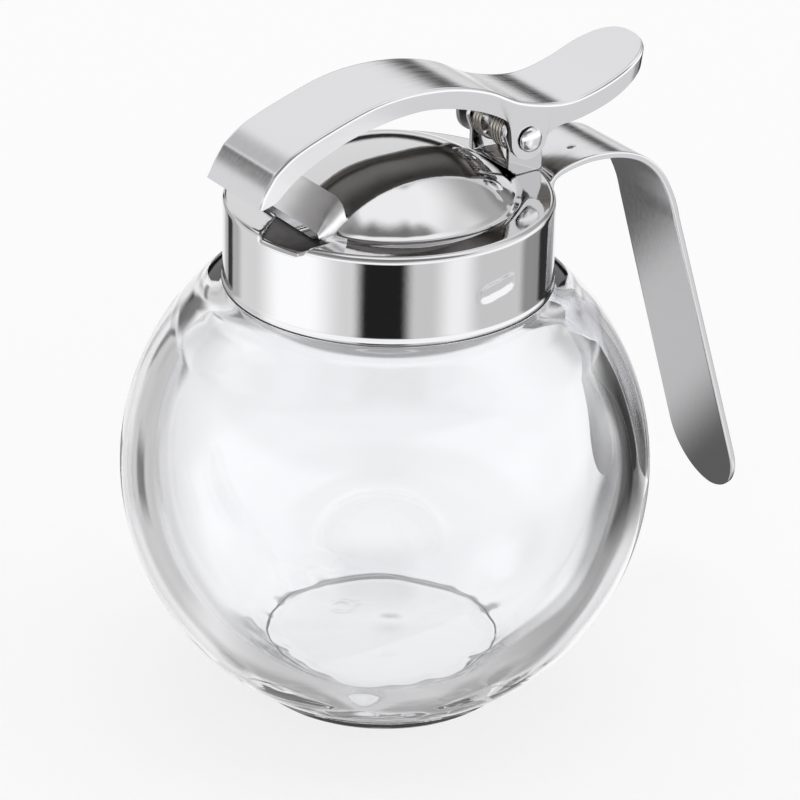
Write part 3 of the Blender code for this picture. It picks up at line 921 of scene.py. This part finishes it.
def buildSpring(look):
    path = springPath(look)
    sides = look["wireSides"]
    loops = []
    guide = Vector((0, 1, 0))
    for i, point in enumerate(path):
        along = (path[min(i + 1, len(path) - 1)] - path[max(i - 1, 0)]).normalized()
        guide = (guide - along * guide.dot(along)).normalized()
        third = along.cross(guide)
        loop = []
        for k in range(sides):
            a = 2 * math.pi * k / sides
            loop.append(point + (guide * math.cos(a) + third * math.sin(a)) * look["wire"])
        loops.append(loop)
    coils = finishPiece("springCoils", loftMesh(loops), wireSteel, 60.0)
    return place(coils, "base", "return_spring")


buildBracket(hingeShape)
buildPin(hingeShape)
buildSpring(hingeShape)
print("hinge made")


# where the flat between two rounded edges is divided
flatParts = (1.0, 0.66, 0.33, 0.0, -0.33, -0.66, -1.0)
flatShare = 0.97


# handle: one strip, from a tab on the collar's back over a bend to a rounded tip
handleShape = {
    "thick": 1.2, "halfWidth": 8.5, "tipHalfWidth": 9.2, "edge": 0.3, "collar": 29.3,
    "root": [(29.5, 84.5), (29.5, 88.0), (29.5, 91.8)],
    "bend": [
        (29.5, 91.8), (30.1, 94.1), (32.6, 95.3), (38.1, 96.0), (44.3, 95.3), (49.6, 93.2),
        (53.8, 89.3), (56.8, 83.7), (58.3, 78.8),
    ],
    "gripEnd": (73.2, 28.2), "tip": 10.9,
    "widening": (30.0, 80.0),      # heights between which it grows to the tip's width
    "wrapTop": (92.6, 95.2),       # the tab follows the collar's round up to here
    "wrapEnd": 34.0,
    "gripRows": 12, "tipRows": 16,
    "tipShort": 0.4,      # the last row stops this part of a row before the very tip
    # spot of a weld on the handle's root
    "nib": {"at": (37.1, -3.0, 95.75), "reach": 0.75, "rise": 0.45, "foot": 0.4, "stretch": 1.5},
}


def buildNib(look):
    profile = [(0.0, look["rise"])]
    for i in range(1, 7):
        a = math.radians(90 * i / 6)
        profile.append((look["reach"] * math.sin(a), look["rise"] * math.cos(a)))
    profile += [(look["reach"], -look["foot"]), (0.0, -look["foot"])]
    bm = turnedMesh(profile, 32)
    x, y, z = look["at"]
    for v in bm.verts:
        v.co = (x + v.co.x * look["stretch"], y + v.co.y, z + v.co.z)
    return place(finishPiece("handleNib", bm, satinSteel, 50.0), "base")


def handleLine(look):
    line = look["root"][:-1] + smoothLine(look["bend"], 8)
    (startX, startZ), (footX, footZ) = line[-1], look["gripEnd"]
    length = math.hypot(footX - startX, footZ - startZ)
    downX, downZ = (footX - startX) / length, (footZ - startZ) / length
    for i in range(1, look["gripRows"] + 1):
        along = length * i / look["gripRows"]
        line.append((startX + downX * along, startZ + downZ * along))
    for i in range(1, look["tipRows"] + 1):
        part = i / (look["tipRows"] + look["tipShort"])
        reach = look["tip"] * math.sin(math.radians(90 * part))
        line.append((footX + downX * reach, footZ + downZ * reach))
    return line


def handleSection(look, half):      # the strip's outline with its rounded edges
    edge = min(look["edge"], half * 0.5)
    right = [(half - edge + x, edge + z) for x, z in arcPoints(0, 0, edge, -90, 0, 5)]
    right += [(half - edge + x, look["thick"] - edge + z) for x, z in arcPoints(0, 0, edge, 0, 90, 5)]
    flat = [(half - edge) * flatShare * u for u in flatParts]
    loop = right + [(y, look["thick"]) for y in flat]
    return loop + [(-y, d) for y, d in reversed(right)] + [(-y, 0.0) for y in flat]


def buildHandle(look):
    line = handleLine(look)
    footX, footZ = look["gripEnd"]
    loops = []
    for (x, z), (nx, nz) in zip(line, lineNormals(line)):
        grow = 1 - rise(z, *look["widening"])
        half = look["halfWidth"] + (look["tipHalfWidth"] - look["halfWidth"]) * grow
        if z < footZ:
            reach = math.hypot(x - footX, z - footZ) / look["tip"]
            half *= math.sqrt(max(1 - reach * reach, 0.0))
        wrap = 1 - rise(z, *look["wrapTop"]) if x < look["wrapEnd"] else 0.0
        points = []
        for y, depth in handleSection(look, half):
            pull = (math.sqrt(look["collar"] ** 2 - y * y) - look["collar"]) * wrap
            points.append((x + nx * depth + pull, y, z + nz * depth))
        loops.append(points)
    strip = finishPiece("handleStrip", loftMesh(loops), satinSteel, 40.0)
    return place(strip, "base", "handle")


buildHandle(handleShape)
buildNib(handleShape["nib"])
print("handle made")


# lever: a pressed channel with its beak over the pouring mouth and a rounded thumb rest
leverShape = {
    "halfWidth": 8.5, "sheet": 1.0, "edge": 0.6,
    "bore": 1.7, "boreHalf": 12.0,
    "flare": 5.0, "flareSpan": (-16.0, 0.0),      # the skirts open a little towards the beak
    "beak": [(-32.3, 101.6), (-30.9, 104.5), (-29.1, 107.2)],
    "top": [
        (-29.1, 107.2), (-25.0, 110.1), (-18.0, 112.8), (-9.0, 115.4), (-1.1, 116.1), (7.5, 115.3),
        (15.0, 113.1), (22.3, 109.5), (31.4, 107.6), (39.0, 108.8), (46.6, 111.8), (51.6, 114.1),
    ],
    "skirtFront": [
        (-31.6, 101.4), (-29.1, 102.3), (-27.0, 104.1), (-24.2, 106.2), (-18.7, 108.9), (-12.4, 111.0),
        (-4.6, 112.3), (3.0, 112.3), (11.5, 110.3), (17.8, 107.4), (19.4, 105.5), (19.9, 102.3),
    ],
    "skirtBack": [
        (27.5, 102.2), (30.1, 103.4), (34.7, 103.9), (40.7, 105.5), (46.8, 108.5), (51.6, 111.6),
    ],
    "ear": 3.8, "earTurn": (180, 358),
    "splits": (19.6, 28.6),      # the top line's part above the ear
    "counts": (96, 41, 64),      # cross-sections before, over and behind the ear
    "endStart": 41.5, "endReach": 10.2, "endPower": 2.5,
    "narrowest": 0.25, "hollowFrom": 0.6,      # half widths, outside and inside
    "level": 0.9995,      # faces that look this straight to the side are flat
}


def endWidth(look, x, inset):
    half = look["halfWidth"] - inset
    u = (x - look["endStart"]) / (look["endReach"] - inset)
    if u <= 0:
        return half
    if u >= 1:
        return 0.0
    return half * (1 - u ** look["endPower"]) ** (1 / look["endPower"])


def splitLine(line, x):
    for i, ((ax, az), (bx, bz)) in enumerate(zip(line, line[1:])):
        if ax <= x <= bx:
            middle = (x, az + (bz - az) * (x - ax) / (bx - ax))
            return line[:i + 1] + [middle], [middle] + line[i + 1:]
    return line, line[-1:]


def leverStations(look):      # pairs of a point on the top line and one on the skirt's foot
    top = smoothLine(look["beak"], 6)[:-1] + smoothLine(look["top"], 8)
    front, rest = splitLine(top, look["splits"][0])
    middle, back = splitLine(rest, look["splits"][1])
    earCount = look["counts"][1]
    px, pz = hingeShape["pin"]
    ear = arcPoints(px, pz, look["ear"], *look["earTurn"], earCount - 1)
    lowFront = smoothLine(look["skirtFront"], 6)
    lowFront[-1] = ear[0]
    lowBack = smoothLine(look["skirtBack"], 6)
    lowBack[0] = ear[-1]
    stations = []
    for upper, lower, count in zip((front, middle, back), (lowFront, ear, lowBack), look["counts"]):
        stations += list(zip(evenPoints(upper, count), evenPoints(lower, count)))[:-1]
    stations.append((back[-1], lowBack[-1]))
    return stations


def skirtFlare(look, x):
    t = rise(x, *look["flareSpan"])
    return math.tan(math.radians(look["flare"])) * (1 - t * t * (3 - 2 * t))


def leverSection(look, x, drop):      # points of half width and depth; no depth means the foot
    half = max(endWidth(look, x, 0.0), look["narrowest"])
    inner = endWidth(look, x + 0.02, look["sheet"])
    edge = min(look["edge"], half * 0.6, drop * 0.4)
    flare = skirtFlare(look, x)
    foot = half + flare * (drop - edge)
    right = [(foot, None), (half + flare * 0.1, edge + 0.1)]
    right += [(half - edge + y, edge - z) for y, z in arcPoints(0, 0, edge, 0, 90, 7)]
    outside = right + [((half - edge) * flatShare * u, 0.0) for u in flatParts]
    outside += [(-y, d) for y, d in reversed(right)]
    hollow = inner > look["hollowFrom"]
    width = inner if hollow else half * 0.5
    under = min(look["sheet"], drop * 0.8) if hollow else None
    footIn = width + foot - half
    inside = [(-footIn, None)] + [(width * u, under) for u in (-1.0, -0.5, 0.0, 0.5, 1.0)]
    inside.append((footIn, None))
    return outside, inside


def buildLever(look):
    stations = leverStations(look)
    normals = lineNormals([upper for upper, _ in stations])
    loops = []
    for ((tx, tz), (sx, sz)), (nx, nz) in zip(stations, normals):
        outside, inside = leverSection(look, tx, math.hypot(tx - sx, tz - sz))
        points = []
        for y, depth in outside + inside:
            if depth is None:
                points.append((sx, y, sz))
            else:
                points.append((tx + nx * depth, y, tz + nz * depth))
        loops.append(points)
    insideStrips = range(len(outside) - 1, len(outside) + len(inside))      # the cut edges too
    lever = finishPiece("leverChannel", loftMesh(loops, insideStrips), satinSteel, 30.0)
    # insides and cut edges: rougher steel, darker as painted shade
    lever.data.materials.append(innerShadeSteel)
    px, pz = hingeShape["pin"]
    circle = arcPoints(px, pz, look["bore"], 0, 352.5, 47)
    bore = prismMesh(circle, -look["boreHalf"], look["boreHalf"])
    cutWith(lever, [finishPiece("boreTool", bore, satinSteel)])
    for face in lever.data.polygons:
        if abs(face.normal.y) > look["level"]:
            face.use_smooth = False
    return place(lever, "lever", "lever")


buildLever(leverShape)
print("lever made")
